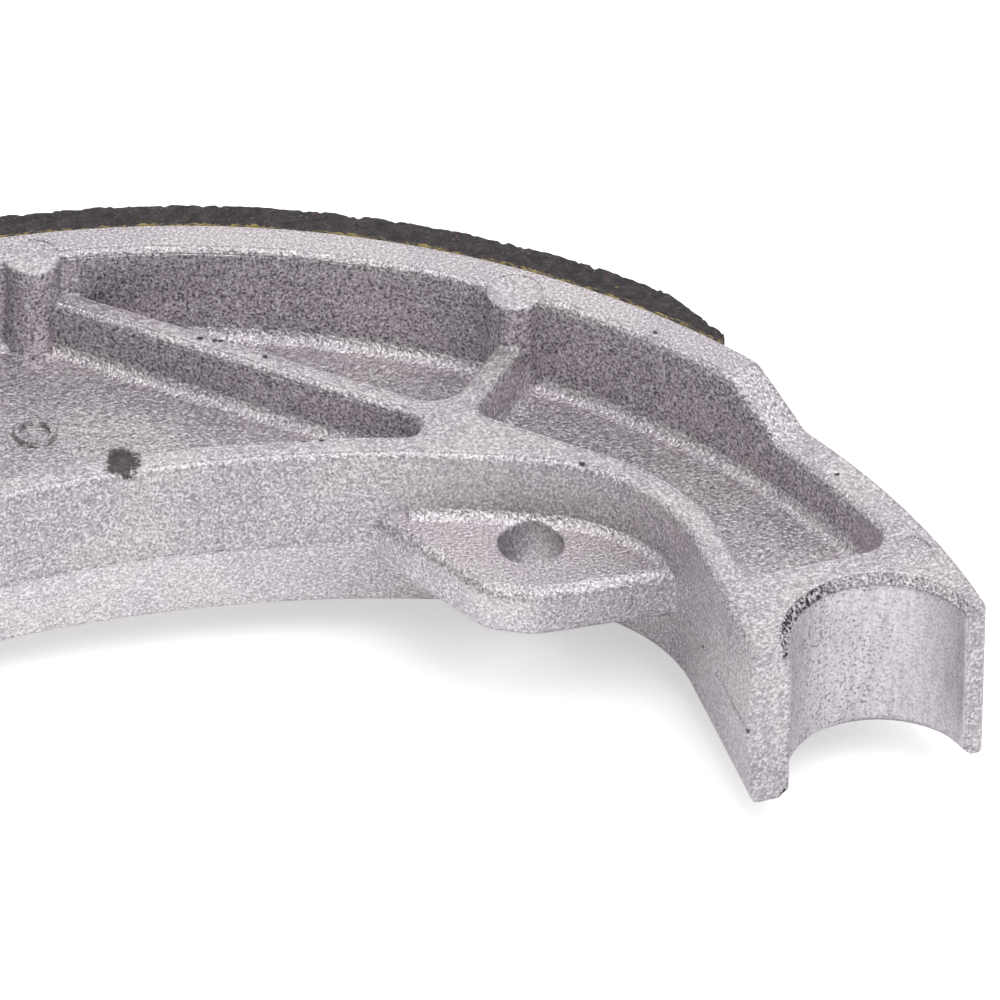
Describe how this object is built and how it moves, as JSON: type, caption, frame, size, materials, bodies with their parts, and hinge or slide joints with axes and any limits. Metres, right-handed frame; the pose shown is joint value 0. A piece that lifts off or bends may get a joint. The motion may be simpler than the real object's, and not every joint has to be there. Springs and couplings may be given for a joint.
{
  "type": "brake shoe",
  "caption": "Cast aluminium drum-brake shoe with a ribbed web, a bonded friction lining, a half-round anchor-pin socket, a flat cam pad and ears with spring holes.",
  "frame": {"origin": "on the drum's axis, halfway across the shoe's width", "axes": "+Z along the drum's axis, +X towards the anchor-pin end, +Y from the drum's axis through the middle of the lining"},
  "size_m": [0.1174, 0.0616, 0.02],
  "materials": {
    "cast_aluminium": "rough as cast, shot-blasted",
    "adhesive": "cured resin",
    "friction_lining": "rough moulded friction compound"
  },
  "bodies": {
    "root": {"shoe_casting": "cast_aluminium", "adhesive": "adhesive", "friction_lining": "friction_lining"}
  },
  "joints": []
}
